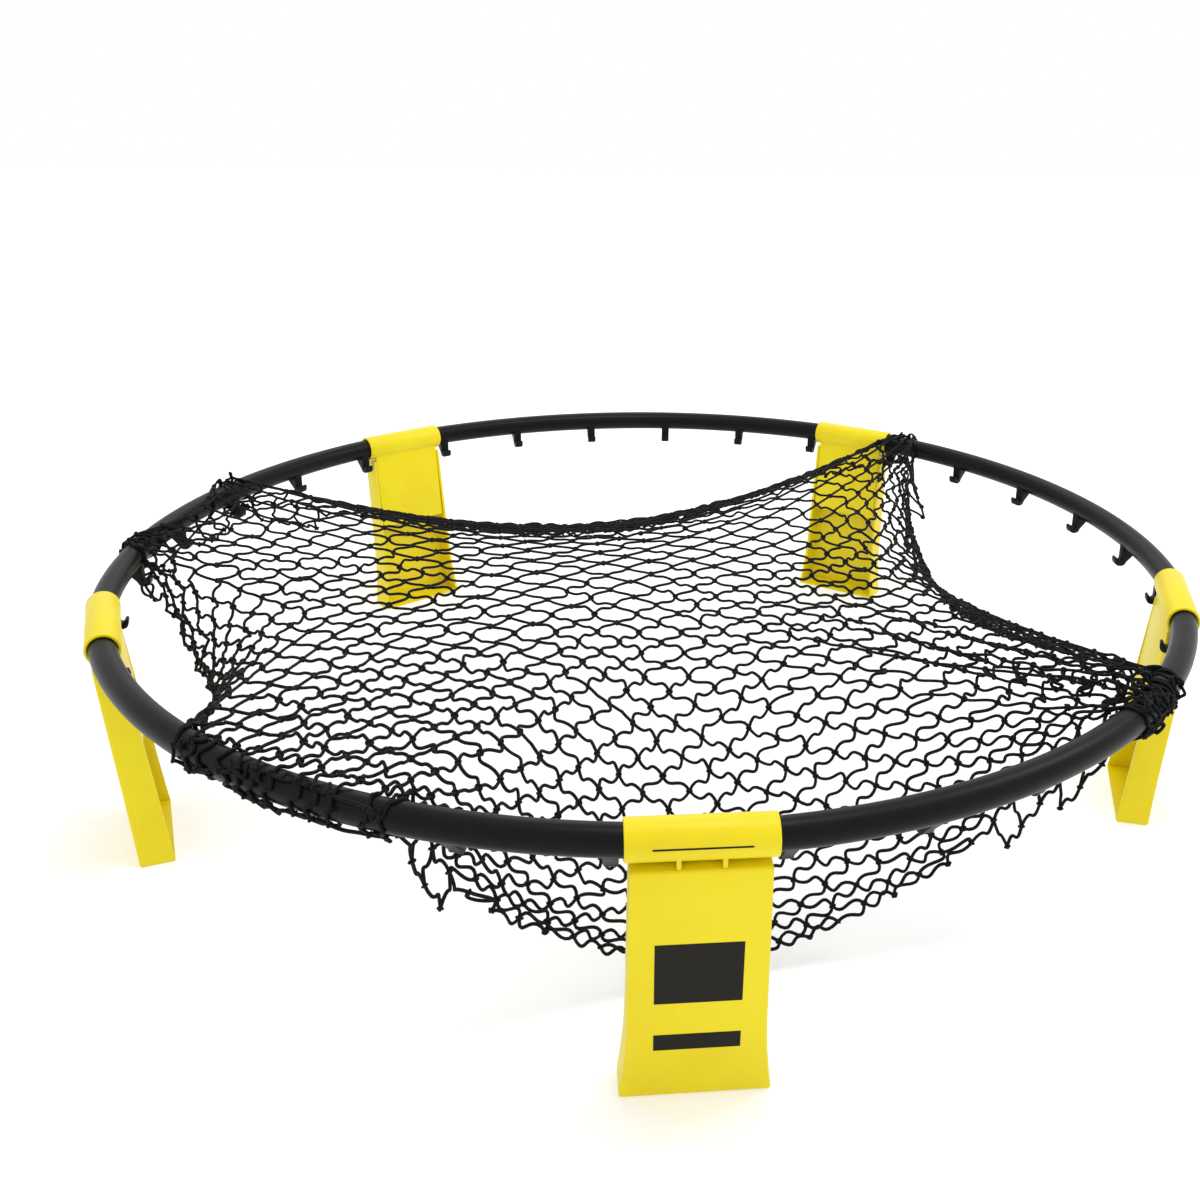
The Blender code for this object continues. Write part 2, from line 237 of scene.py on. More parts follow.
def blackPlastic(look):
    finish = Finish("blackPlastic", Specular_IOR_Level=0.13)
    place = finish.place()
    cloudy = finish.noise(place, 22.0)
    fine = finish.noise(place, 1 / look["grainSize"], 2.0)
    rubs = finish.range(finish.noise(place, 160.0, 6.0, 0.65), 0.58, 0.74, 0.0, 1.0)
    colour = finish.blend(rubs * 0.45 + cloudy * 0.2, solid(look["base"]), solid(look["worn"]))
    low, high = look["gloss"]
    finish.feed(Base_Color=colour, Roughness=low + (high - low) * cloudy + 0.06 * rubs)
    finish.bump(fine + 0.5 * rubs, look["grainDepth"])
    return finish.material


def yellowPlastic(look):
    finish = Finish("yellowPlastic", Specular_IOR_Level=0.28)
    place = finish.place()
    cloudy = finish.noise(place, 16.0, 4.0)
    fine = finish.noise(place, 1 / look["grainSize"], 2.0)
    flow = finish.noise(place, 55.0, 5.0, 0.6)
    scuffs = finish.range(finish.noise(place, 240.0, 7.0, 0.7), 0.62, 0.78, 0.0, 1.0)
    body = finish.blend(finish.range(cloudy, 0.35, 0.65, 0.0, 1.0), solid(look["deep"]),
                        solid(look["base"]))
    colour = finish.blend(scuffs * 0.35, body, solid(look["scuff"]))
    low, high = look["gloss"]
    finish.feed(Base_Color=colour, Roughness=low + (high - low) * flow + 0.08 * scuffs)
    finish.bump(fine + 0.6 * flow, look["grainDepth"])
    return finish.material


def twistedCord(look):
    finish = Finish("twistedCord", Specular_IOR_Level=0.10, Sheen_Weight=0.02,
                    Sheen_Roughness=0.5)
    along = finish.node("UVMap", {"uv_map": "cordMap"})["UV"]
    parts = finish.node("SeparateXYZ", None, {"Vector": along})
    strand = (parts["X"] / look["lay"] + parts["Y"] * look["strands"]) * math.tau
    crownAndGrooveShade = strand.sine() * 0.5 + 0.5
    fibre = (parts["X"] / look["lay"] * 9.0 - parts["Y"] * 14.0) * math.tau
    place = finish.place()
    fuzz = finish.noise(place, 900.0, 4.0, 0.6)
    # painted shade: the strand crowns are painted lighter and the grooves between strands darker;
    # the fuzz noise adds real fibre fuzz
    colour = finish.blend(crownAndGrooveShade * 0.5 + fuzz * 0.4, solid(look["base"]), solid(look["fuzz"]))
    finish.feed(Base_Color=colour, Roughness=0.52 + 0.25 * fuzz)
    finish.bump(crownAndGrooveShade + fibre.sine() * 0.08 + fuzz * 0.2, look["twistDepth"])
    return finish.material


def darkSteel(look):
    finish = Finish("darkSteel", Metallic=0.9)
    place = finish.place()
    grain = finish.noise(place, 700.0, 5.0, 0.6)
    worn = finish.range(finish.noise(place, 260.0), 0.55, 0.70, 0.0, 1.0)
    low, high = look["gloss"]
    finish.feed(Base_Color=finish.blend(worn, solid(look["base"]), solid(look["bright"])),
                Roughness=low + (high - low) * grain)
    finish.bump(grain, look["grainDepth"])
    return finish.material


def printInk(look):
    finish = Finish("printInk", Specular_IOR_Level=0.12)
    place = finish.place()
    thin = finish.noise(place, 900.0, 4.0, 0.6)
    patchy = finish.noise(place, 120.0, 3.0)
    colour = finish.blend(thin * 0.5 + patchy * 0.3, solid(look["base"]), solid(look["thin"]))
    finish.feed(Base_Color=colour, Roughness=0.42 + 0.2 * thin)
    finish.bump(thin, look["grainDepth"])
    return finish.material


def paleFloor(look):
    finish = Finish("paleFloor", Specular_IOR_Level=0.0, Emission_Strength=0.28)
    place = finish.place()
    soft = finish.noise(place, 3.0)
    grain = finish.noise(place, 700.0, 3.0)
    finish.feed(Base_Color=finish.blend(soft, solid(look["base"]), solid(look["pale"])),
                Roughness=0.75 + 0.1 * grain, Emission_Color=solid(look["glow"]))
    return finish.material


black = blackPlastic(blackLook)
yellow = yellowPlastic(yellowLook)
cordMaterial = twistedCord(cordLook)
steel = darkSteel(steelLook)
ink = printInk(inkLook)
print("materials made")


# mesh helpers

def bmeshPiece(name, bm, material, smoothAngle=40.0):
    mesh = bpy.data.meshes.new(name)
    bm.to_mesh(mesh)
    bm.free()
    return showPiece(name, mesh, material, smoothAngle)


def showPiece(name, mesh, material, smoothAngle):
    mesh.validate()
    mesh.shade_smooth()
    mesh.set_sharp_from_angle(angle=math.radians(smoothAngle))
    mesh.materials.append(material)
    piece = bpy.data.objects.new(name, mesh)
    bpy.context.scene.collection.objects.link(piece)
    return piece


def bevelEdges(piece, width, steps, angle=30.0):
    bevel = piece.modifiers.new("edges", "BEVEL")
    bevel.width = width
    bevel.segments = steps
    bevel.limit_method = "ANGLE"
    bevel.angle_limit = math.radians(angle)
    bevel.harden_normals = False
    return bevel


def freezeModifiers(piece, smoothAngle=40.0):
    view = bpy.context.evaluated_depsgraph_get()
    mesh = bpy.data.meshes.new_from_object(piece.evaluated_get(view))
    old = piece.data
    piece.modifiers.clear()
    piece.data = mesh
    bpy.data.meshes.remove(old)
    mesh.shade_smooth()
    mesh.set_sharp_from_angle(angle=math.radians(smoothAngle))


def ringPlace(angle, radius, height=hingeHeight):
    return Vector((radius * math.cos(angle), radius * math.sin(angle), height))


def legAngle(number):
    x, y, _ = joints[f"leg_{number}"]["pos_m"]
    return math.atan2(y, x)


def legMatrix(number):
    # X along the ring, Y out from its centre, Z up the leaning leg, at its hinge axis
    angle = legAngle(number)
    return (Matrix.Translation(ringPlace(angle, hingeRadius))
            @ Matrix.Rotation(angle - math.pi / 2, 4, "Z")
            @ Matrix.Rotation(-legSpec["lean"], 4, "X"))


# ring

ringSpec = {
    "radius": 0.445,
    "tubeRadius": 0.010,
    "wall": 0.0024,
    "sides": 36,
    "bendSteps": 60,
    "endGap": 0.0002,
    "straightHalf": 0.0443,
    "hooks": 6,
    "hookFromSleeve": 0.0068,
    "hookThickness": 0.0085,
    "hookDrop": 0.0130,
    "hookCurl": 0.0065,
    "hookBar": 0.0042,
    "edgeRound": 0.0007,
}


def segmentPath(number):
    start = legAngle(number)
    bend = math.asin(ringSpec["straightHalf"] / ringSpec["radius"])
    first, last = start + bend, start + legTurn - bend
    steps = ringSpec["bendSteps"]
    arc = [ringPlace(first + (last - first) * i / steps, ringSpec["radius"])
           for i in range(steps + 1)]
    along = Vector((-math.sin(start), math.cos(start), 0))
    alongEnd = Vector((-math.sin(start + legTurn), math.cos(start + legTurn), 0))
    head = ringPlace(start, hingeRadius) + along * ringSpec["endGap"]
    tail = ringPlace(start + legTurn, hingeRadius) - alongEnd * ringSpec["endGap"]
    return [head, *arc, tail]


def pathFrames(path):
    # the tube lies flat, so its cross-section turns about the vertical only
    frames = []
    for i, place in enumerate(path):
        before = path[max(i - 1, 0)]
        after = path[min(i + 1, len(path) - 1)]
        tangent = (after - before).normalized()
        outward = tangent.cross(Vector((0, 0, 1))).normalized()
        frames.append((place, outward))
    return frames


def tubeShell(path, outerRadius, innerRadius, sides):
    verts, faces = [], []
    frames = pathFrames(path)
    for radius in (outerRadius, innerRadius):
        for place, outward in frames:
            for k in range(sides):
                turn = math.tau * k / sides
                verts.append(place + outward * radius * math.cos(turn)
                             + Vector((0, 0, radius * math.sin(turn))))
    rings = len(frames)
    half = rings * sides
    for i in range(rings - 1):
        for k in range(sides):
            a, b = i * sides + k, i * sides + (k + 1) % sides
            faces.append((a, a + sides, b + sides, b))
            faces.append((half + a, half + b, half + b + sides, half + a + sides))
    for k in range(sides):
        n = (k + 1) % sides
        last = (rings - 1) * sides
        faces.append((k, n, half + n, half + k))
        faces.append((last + k, half + last + k, half + last + n, last + n))
    return verts, faces


def hookOutline():
    # across the tube: X out from the ring's centre, Y up from the tube's middle
    tube, drop = ringSpec["tubeRadius"], ringSpec["hookDrop"]
    curl, bar = ringSpec["hookCurl"], ringSpec["hookBar"]
    inner, low = -(tube - 0.0004), -(tube + drop)
    tip = inner - curl
    root = [((tube - 0.0012) * math.cos(math.radians(a)),
             (tube - 0.0012) * math.sin(math.radians(a))) for a in (296, 268, 232, 197)]
    return [*root, (inner, root[-1][1] - 0.0016), (inner, low + bar + 0.0022),
            (inner - 0.0006, low + bar + 0.0008), (inner - 0.0020, low + bar + 0.0002),
            (tip + bar * 0.90, low + bar + 0.0008), (tip + bar * 0.62, low + 0.0076),
            (tip + bar * 0.30, low + 0.0083), (tip, low + 0.0072), (tip + 0.0004, low + 0.0034),
            (tip + 0.0016, low + 0.0010), (tip + 0.0040, low), (inner + 0.0010, low),
            (inner + 0.0034, low + 0.0012), (inner + 0.0046, low + 0.0038), (0.0040, -0.0096)]


def addHook(bm, angle):
    outline = hookOutline()
    half = ringSpec["hookThickness"] / 2
    upright = Matrix.Rotation(math.pi / 2, 4, "X")
    matrix = (Matrix.Translation(ringPlace(angle, ringSpec["radius"]))
              @ Matrix.Rotation(angle, 4, "Z") @ upright)
    front = [bm.verts.new(matrix @ Vector((x, y, half))) for x, y in outline]
    back = [bm.verts.new(matrix @ Vector((x, y, -half))) for x, y in outline]
    bm.faces.new(front)
    bm.faces.new(list(reversed(back)))
    for i in range(len(outline)):
        j = (i + 1) % len(outline)
        bm.faces.new((front[i], back[i], back[j], front[j]))


def ringSegment(number):
    spec = ringSpec
    tube = spec["tubeRadius"]
    verts, faces = tubeShell(segmentPath(number), tube, tube - spec["wall"], spec["sides"])
    bm = bmesh.new()
    made = [bm.verts.new(v) for v in verts]
    for face in faces:
        bm.faces.new([made[i] for i in face])
    start = (spec["straightHalf"] + spec["hookFromSleeve"]) / spec["radius"]
    for i in range(spec["hooks"]):
        share = i / (spec["hooks"] - 1)
        addHook(bm, legAngle(number) + start + (legTurn - 2 * start) * share)
    bmesh.ops.recalc_face_normals(bm, faces=bm.faces)
    piece = bmeshPiece(f"rimTube{number}", bm, black)
    bevelEdges(piece, spec["edgeRound"], 3, 38)
    freezeModifiers(piece)
    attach(piece, "ring")
    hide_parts(f"rim_segment_{number}")


for number in range(1, legCount + 1):
    ringSegment(number)
    spigot = frame["nodes"][f"rim_spigot_{number}"]
    spigot.data.materials.clear()
    spigot.data.materials.append(black)
print("ring and hooks made")


# legs

legSpec = {
    "sleeveWidth": 0.0870,
    "sleeveInner": 0.0104,
    "sleeveWall": 0.0022,
    "sleeveSides": 64,
    "sleeveRound": 0.0007,
    "lipGap": 0.0020,
    "panelWall": 0.0026,
    "topWidth": 0.0810,
    "footWidth": 0.0936,
    "flareHeight": 0.060,
    "lean": math.radians(5.5),
    "topFace": 0.0112,
    "footFace": 0.0137,
    "innerFace": 0.0090,
    "footInner": 0.0115,
    "coverLength": 0.0900,
    "coverWall": 0.0024,
    "cornerRound": 0.0020,
    "wallRound": 0.0005,
    "coverRound": 0.0006,
    "tabSpacing": 0.026,
    "tabWidth": 0.0028,
    "gap": 0.0003,
    "screwSpacing": 0.060,
    "screwDrop": 0.025,
    "screwHead": 0.0022,
    "screwSides": 24,
    "recessReach": 0.0013,
    "recessHalf": 0.00028,
}


legLength = hingeHeight / math.cos(legSpec["lean"])
panelTop = legSpec["sleeveInner"] + legSpec["sleeveWall"] + legSpec["lipGap"]


def legSection(drop):
    spec = legSpec
    share = (drop - panelTop) / (legLength - panelTop)
    flare = max(0.0, (drop - legLength + spec["flareHeight"]) / spec["flareHeight"]) ** 2
    half = (spec["topWidth"] + (spec["footWidth"] - spec["topWidth"])
            * (0.35 * share + 0.65 * flare)) / 2
    outer = spec["topFace"] + (spec["footFace"] - spec["topFace"]) * share
    inner = -spec["innerFace"] - (spec["footInner"] - spec["innerFace"]) * share
    return half, outer, inner


def panelDrops():
    start = legLength - legSpec["flareHeight"]
    return [*np.linspace(panelTop, start, 7)[:-1], *np.linspace(start, legLength, 16)]


def groundLevel(y):
    lean = legSpec["lean"]
    return (y * math.sin(lean) - hingeHeight) / math.cos(lean)


def legPanel(number):
    spec = legSpec
    coverFront = -spec["innerFace"] + spec["coverWall"] + spec["gap"]
    bm = bmesh.new()
    rows = []
    drops = panelDrops()
    for drop in drops:
        half, outer, inner = legSection(drop)
        shape = [(-half, inner), (-half, coverFront), (-half, outer),
                 (half, outer), (half, coverFront), (half, inner)]
        last = drop == drops[-1]
        rows.append([bm.verts.new((x, y, groundLevel(y) if last else -drop)) for x, y in shape])
    for upper, lower in zip(rows, rows[1:]):
        for i in range(5):
            bm.faces.new((upper[i], lower[i], lower[i + 1], upper[i + 1]))
    top = rows[0]
    bm.faces.new((top[1], top[2], top[3], top[4]))
    bm.faces.new(rows[-1])
    bmesh.ops.recalc_face_normals(bm, faces=bm.faces)
    front = max(bm.faces, key=lambda face: face.calc_center_median().y)
    if front.normal.y < 0:
        bmesh.ops.reverse_faces(bm, faces=bm.faces)
    piece = bmeshPiece(f"legPanel{number}", bm, yellow)
    bevelEdges(piece, spec["cornerRound"], 4, 50)
    wall = piece.modifiers.new("wall", "SOLIDIFY")
    wall.thickness = spec["panelWall"]
    wall.offset = -1
    wall.use_even_offset = True
    bevelEdges(piece, spec["wallRound"], 2, 60)
    freezeModifiers(piece)
    piece.matrix_world = legMatrix(number)
    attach(piece, f"leg_{number}")
    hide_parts(f"leg_panel_{number}")


def addBox(bm, low, high):
    low, high = Vector(low), Vector(high)
    matrix = Matrix.Translation((low + high) / 2) @ Matrix.Diagonal((*(high - low), 1.0))
    bmesh.ops.create_cube(bm, size=1.0, matrix=matrix)


def addSleeve(bm):
    spec = legSpec
    inner, half, rim = spec["sleeveInner"], spec["sleeveWidth"] / 2, spec["sleeveRound"]
    outer = inner + spec["sleeveWall"]
    profile = []
    for side in (-1, 1):
        corners = [(inner, 1), (outer, -1)] if side < 0 else [(outer, -1), (inner, 1)]
        for radius, turn in corners:
            centre = (side * (half - rim), radius + turn * rim)
            angles = (0, 30, 60, 90)
            edge = [(centre[0] + side * rim * math.cos(math.radians(a)),
                     centre[1] - turn * rim * math.sin(math.radians(a))) for a in angles]
            forwards = (side < 0) == (turn < 0)
            profile += edge if forwards else list(reversed(edge))
    rings = []
    for k in range(spec["sleeveSides"]):
        turn = math.tau * k / spec["sleeveSides"]
        rings.append([bm.verts.new((x, r * math.cos(turn), r * math.sin(turn)))
                      for x, r in profile])
    for k, ring in enumerate(rings):
        following = rings[(k + 1) % len(rings)]
        for i in range(len(profile)):
            j = (i + 1) % len(profile)
            bm.faces.new((ring[i], ring[j], following[j], following[i]))


def legCover(number):
    spec = legSpec
    sleeveOuter = spec["sleeveInner"] + spec["sleeveWall"]
    half = spec["topWidth"] / 2 - spec["panelWall"] - spec["gap"]
    bm = bmesh.new()
    addBox(bm, (-half, -spec["innerFace"], -spec["coverLength"]),
           (half, -spec["innerFace"] + spec["coverWall"], -spec["sleeveInner"] * 0.62))
    for side in (-1, 1):
        middle = side * spec["tabSpacing"] / 2
        addBox(bm, (middle - spec["tabWidth"] / 2, 0.004, -sleeveOuter - spec["lipGap"] + 0.0003),
               (middle + spec["tabWidth"] / 2, spec["topFace"] - 0.0010, -0.0065))
    bmesh.ops.recalc_face_normals(bm, faces=bm.faces)
    piece = bmeshPiece(f"legCover{number}", bm, yellow)
    bevelEdges(piece, spec["coverRound"], 3, 40)
    freezeModifiers(piece)
    bm = bmesh.new()
    bm.from_mesh(piece.data)
    before = len(bm.faces)
    addSleeve(bm)
    bm.faces.ensure_lookup_table()
    bmesh.ops.recalc_face_normals(bm, faces=bm.faces[before:])
    bm.to_mesh(piece.data)
    bm.free()
    piece.data.shade_smooth()
    piece.data.set_sharp_from_angle(angle=math.radians(40))
    piece.matrix_world = legMatrix(number)
    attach(piece, f"leg_{number}")
    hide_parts(f"leg_cover_{number}")


def screwHead():
    # a low round head with a cross recess, its top towards -Y
    radius, sides = legSpec["screwHead"], legSpec["screwSides"]
    reach, half = legSpec["recessReach"], legSpec["recessHalf"]
    bm = bmesh.new()
    rings = []
    for share, high in ((1.0, 0.0), (1.0, 0.0005), (0.93, 0.0008), (0.70, 0.0010)):
        rings.append([bm.verts.new((radius * share * math.cos(math.tau * k / sides), -high,
                                    radius * share * math.sin(math.tau * k / sides)))
                      for k in range(sides)])
    for lower, upper in zip(rings, rings[1:]):
        for k in range(sides):
            n = (k + 1) % sides
            bm.faces.new((lower[k], lower[n], upper[n], upper[k]))
    bm.faces.new(rings[0])
    bm.faces.new(rings[-1])
    bmesh.ops.recalc_face_normals(bm, faces=bm.faces)
    head = bmeshPiece("screwHead", bm, steel)
    bm = bmesh.new()
    addBox(bm, (-reach, -0.002, -half), (reach, -0.0004, half))
    slot = bmeshPiece("slotA", bm, steel)
    bm = bmesh.new()
    addBox(bm, (-half, -0.002, -reach), (half, -0.0004, reach))
    cross = bmeshPiece("slotB", bm, steel)
    for cutter in (slot, cross):
        cut = head.modifiers.new("recess", "BOOLEAN")
        cut.operation = "DIFFERENCE"
        cut.object = cutter
        cut.solver = "EXACT"
    freezeModifiers(head, 30)
    for cutter in (slot, cross):
        bpy.data.objects.remove(cutter, do_unlink=True)
    return head


def legScrews(number, pattern):
    spec = legSpec
    for side, word in ((-1, "left"), (1, "right")):
        piece = bpy.data.objects.new(f"legScrew{number}{word.capitalize()}", pattern.data.copy())
        bpy.context.scene.collection.objects.link(piece)
        place = Matrix.Translation((side * spec["screwSpacing"] / 2,
                                    -spec["innerFace"] + 0.0012, -spec["screwDrop"]))
        spin = Matrix.Rotation(0.4 * number + side, 4, "Y")
        piece.matrix_world = legMatrix(number) @ place @ spin
        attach(piece, f"leg_{number}")
        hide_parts(f"leg_screw_{number}_{word}")


headPattern = screwHead()
for number in range(1, legCount + 1):
    legPanel(number)
    legCover(number)
    legScrews(number, headPattern)
bpy.data.objects.remove(headPattern, do_unlink=True)
print("legs made")


# plain print on the front leg

printSpec = {
    "height": 0.00015,
    "sink": 0.0002,
    "bars": ((-0.088, 0.044), (-0.140, 0.012)),  # middle and height of each bar on the panel
    "barWide": 0.052,
    "bandWide": 0.056,
    "bandArc": (1.0, 6.0),
}


def addPatch(bm, outline, depth):
    # a thin raised patch: the outline is on the face, and depth is how far it sinks in
    low = [bm.verts.new(point - push * depth) for point, push in outline]
    high = [bm.verts.new(point + push * printSpec["height"]) for point, push in outline]
    bm.faces.new(low)
    bm.faces.new(high)
    for i in range(len(outline)):
        j = (i + 1) % len(outline)
        bm.faces.new((low[i], low[j], high[j], high[i]))


def panelPoint(x, z):
    slope = (legSpec["footFace"] - legSpec["topFace"]) / (legLength - panelTop)
    return Vector((x, legSpec["topFace"] + slope * (-z - panelTop), z)), Vector((0, 1, 0))


def frontPrint():
    spec = printSpec
    bm = bmesh.new()
    half = spec["barWide"] / 2
    for middle, high in spec["bars"]:
        addPatch(bm, [panelPoint(x * half, middle + z * high / 2)
                      for x, z in ((-1, -1), (1, -1), (1, 1), (-1, 1))], spec["sink"])
    outer = legSpec["sleeveInner"] + legSpec["sleeveWall"]
    half = spec["bandWide"] / 2
    turns = [math.radians(a) + legSpec["lean"] for a in np.linspace(*spec["bandArc"], 4)]
    for lower, upper in zip(turns, turns[1:]):
        corners = ((-half, lower), (half, lower), (half, upper), (-half, upper))
        addPatch(bm, [(Vector((x, outer * math.cos(turn), outer * math.sin(turn))),
                       Vector((0, math.cos(turn), math.sin(turn)))) for x, turn in corners],
                 spec["sink"])
    bmesh.ops.recalc_face_normals(bm, faces=bm.faces)
    piece = bmeshPiece("frontPrint", bm, ink, 20)
    piece.matrix_world = legMatrix(1)
    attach(piece, "leg_1")


frontPrint()
print("print made")


# net

netSpec = {
    "radius": 0.456,
    "bar": 0.0262,
    "barSpread": 0.05,
    "lean": (0.35, 0.78),
    "chord": 0.0220,
    "leastChord": 0.70,
    "cord": 0.00122,
    "knot": 0.82,
    "heldBand": 0.065,
    "held": (  # angle on the ring, angle in the net, half width in the net, how far it gathers
        (46, 50, 6, 0.30), (319, 334, 5, 0.30), (317, 326, 5, 0.30), (315, 318, 5, 0.30),
        (313, 311, 4, 0.30), (156.2, 137.5, 6, 0.35), (177, 159, 5, 0.35), (228, 206, 6, 0.50),
        (234, 216, 6, 0.50), (240, 226, 6, 0.50), (246, 235, 5, 0.30)),
    "frames": 90,
    "substeps": 16,
    "passes": 2,
    "drag": 0.998,
    "topSpeed": 3.0,
    "clearance": 0.0022,
    "spring": 0.3,
    "midWeight": 2.5,
    "seed": 3,
    "barSteps": 11,
    "cordSides": 6,
    "startShare": 0.97,  # of the flat size, before it falls
    "startRise": 0.012,
    "startNoise": 0.002,
    "hangShare": 0.35,  # of the run, over which the held knots reach their hooks
    "wrapGap": 0.0025,
    "wrapDroop": 0.3,
    "knotTurn": 0.36,
    "knotTilt": 0.25,
}

gravity = 9.81
framesPerSecond = 60


def netLattice(spec):
    # knots on a square grid set cornerwise, and the bars between them
    reach = int(spec["radius"] / spec["chord"]) + 2
    steps = np.arange(-reach, reach + 1)
    across, along = np.meshgrid(steps, steps, indexing="ij")
    corner = math.sqrt(0.5)
    x = (across - along) * corner * spec["chord"]
    y = (across + along) * corner * spec["chord"]
    inside = np.hypot(x, y) <= spec["radius"]
    for _ in range(2):
        near = np.zeros(inside.shape, int)
        near[1:] += inside[:-1]
        near[:-1] += inside[1:]
        near[:, 1:] += inside[:, :-1]
        near[:, :-1] += inside[:, 1:]
        inside &= near >= 2
    number = np.full(inside.shape, -1)
    number[inside] = np.arange(inside.sum())
    flat = np.stack([x[inside], y[inside]], 1)
    bars = []
    for way, (a, b) in enumerate(((number[:-1], number[1:]), (number[:, :-1], number[:, 1:]))):
        both = (a >= 0) & (b >= 0)
        bars.append(np.stack([a[both], b[both], np.full(both.sum(), way)], 1))
    return flat, np.concatenate(bars)


def colourBars(bars, spec):
    # bars that share no knot, so that each batch can be pushed at once
    batches = []
    for way in (0, 1):
        mine = bars[bars[:, 2] == way, :2]
        taken = {}
        shade = []
        for a, b in mine:
            shade.append(1 - taken.get(a, 1))
            taken[a] = taken[b] = shade[-1]
        shade = np.array(shade)
        batches += [mine[shade == 0].T, mine[shade == 1].T]
    return batches


def overTheTube(angle, reach, spec):
    # from the tube's top, out and down round it, then in under it to the hook
    around = ringSpec["tubeRadius"] + spec["wrapGap"]
    turn = math.pi / 2 - reach / around
    if turn > -math.pi / 2:
        return ringPlace(angle, ringSpec["radius"] + around * math.cos(turn),
                         hingeHeight + around * math.sin(turn))
    extra = reach - math.pi * around
    return ringPlace(angle, ringSpec["radius"] - extra,
                     hingeHeight - around - spec["wrapDroop"] * extra)


def heldKnots(flat, spec):
    radius = np.hypot(flat[:, 0], flat[:, 1])
    angle = np.degrees(np.arctan2(flat[:, 1], flat[:, 0]))
    edge = spec["radius"] - spec["heldBand"]
    held = {}
    for onRing, inNet, spread, gather in spec["held"]:
        away = (angle - inNet + 180) % 360 - 180
        for knot in np.where((np.abs(away) < spread) & (radius > edge))[0]:
            if knot not in held:
                held[knot] = overTheTube(math.radians(onRing + away[knot] * gather),
                                         radius[knot] - edge, spec)
    return np.array(list(held)), np.array([tuple(p) for p in held.values()])


def settleNet(spec):
    # bars only pull, each with a heavy middle point, and the held knots go to their hooks
    rng = np.random.default_rng(spec["seed"])
    flat, bars = netLattice(spec)
    knots = len(flat)
    place = np.zeros((knots, 3))
    place[:, :2] = flat * spec["startShare"]
    place[:, 2] = hingeHeight + spec["startRise"]
    middle = knots + np.arange(len(bars))
    place = np.concatenate([place, (place[bars[:, 0]] + place[bars[:, 1]]) / 2])
    place[:, 2] += rng.normal(0, spec["startNoise"], len(place))
    groups = []
    for way in (0, 1):
        mine = bars[:, 2] == way
        groups.append(np.stack([bars[mine, 0], middle[mine]], 1))
        groups.append(np.stack([middle[mine], bars[mine, 1]], 1))
    whole = colourBars(bars, spec)
    ease = np.ones(len(place))
    ease[knots:] = spec["midWeight"]
    pinned, target = heldKnots(flat, spec)
    ease[pinned] = 0
    start = place[pinned].copy()
    speed = np.zeros_like(place)
    tick = 1 / framesPerSecond / spec["substeps"]
    around = ringSpec["tubeRadius"] + spec["clearance"]
    for step in range(spec["frames"] * spec["substeps"]):
        share = min(1.0, (step // spec["substeps"] + 1) / (spec["frames"] * spec["hangShare"]))
        speed[:, 2] -= gravity * tick
        speed *= spec["drag"]
        before = place.copy()
        place = place + speed * tick * (ease[:, None] > 0)
        place[pinned] = start + (target - start) * share
        for _ in range(spec["passes"]):
            for group in groups:
                a, b = group[:, 0], group[:, 1]
                gap = place[b] - place[a]
                length = np.linalg.norm(gap, axis=1) + 1e-12
                over = np.maximum(length - spec["chord"] / 2, 0)
                pull = (over / length / (ease[a] + ease[b] + 1e-12))[:, None] * gap
                place[a] += ease[a][:, None] * pull
                place[b] -= ease[b][:, None] * pull
            for a, b in whole:
                gap = place[b] - place[a]
                length = np.linalg.norm(gap, axis=1) + 1e-12
                under = np.minimum(length - spec["leastChord"] * spec["chord"], 0)
                stiff = spec["spring"] * under / length / (ease[a] + ease[b] + 1e-12)
                pull = stiff[:, None] * gap
                place[a] += ease[a][:, None] * pull
                place[b] -= ease[b][:, None] * pull
            radius = np.hypot(place[:, 0], place[:, 1]) + 1e-9
            out, up = radius - ringSpec["radius"], place[:, 2] - hingeHeight
            depth = np.hypot(out, up)
            hit = (depth < around) & (ease > 0)
            push = around / np.maximum(depth[hit], 1e-6)
            place[hit, 2] = hingeHeight + up[hit] * push
            place[hit, :2] *= ((ringSpec["radius"] + out[hit] * push) / radius[hit])[:, None]
            place[:, 2] = np.maximum(place[:, 2], spec["clearance"])
        speed = (place - before) / tick
        fast = np.linalg.norm(speed, axis=1)
        slow = np.minimum(1.0, spec["topSpeed"] / np.maximum(fast, 1e-9))
        speed *= slow[:, None]
    return place[:knots], bars


def unit(vectors):
    return vectors / (np.linalg.norm(vectors, axis=-1, keepdims=True) + 1e-12)


def knotAxes(place, bars, spec, rng):
    # up and side of each knot in the net's own surface, from its neighbours
    up = np.zeros_like(place)
    side = np.zeros_like(place)
    for way, sign in ((0, 1.0), (1, -1.0)):
        a, b = bars[bars[:, 2] == way, :2].T
        gap = place[b] - place[a]
        for end in (a, b):
            np.add.at(up, end, gap)
            np.add.at(side, end, sign * gap)
    up, side = unit(up), unit(side)
    normal = unit(np.cross(side, up))
    side = unit(np.cross(up, normal))
    turn = rng.normal(0, spec["knotTurn"], len(place))[:, None]
    tilt = rng.normal(0, spec["knotTilt"], len(place))[:, None]
    newUp = unit(up * np.cos(turn) + side * np.sin(turn) + normal * tilt)
    newSide = unit(side * np.cos(turn) - up * np.sin(turn))
    newSide = unit(newSide - newUp * (newSide * newUp).sum(1, keepdims=True))
    return newUp, newSide, np.cross(newSide, newUp)


def hermite(a, b, tangentA, tangentB, reach, steps):
    t = np.linspace(0, 1, steps)[None, :, None]
    reach = reach[:, None, None]
    return ((2 * t ** 3 - 3 * t ** 2 + 1) * a[:, None]
            + (t ** 3 - 2 * t ** 2 + t) * reach * tangentA[:, None]
            + (3 * t ** 2 - 2 * t ** 3) * b[:, None]
            + (t ** 3 - t ** 2) * reach * tangentB[:, None])


def pathLength(paths):
    return np.linalg.norm(np.diff(paths, axis=1), axis=2).sum(1)


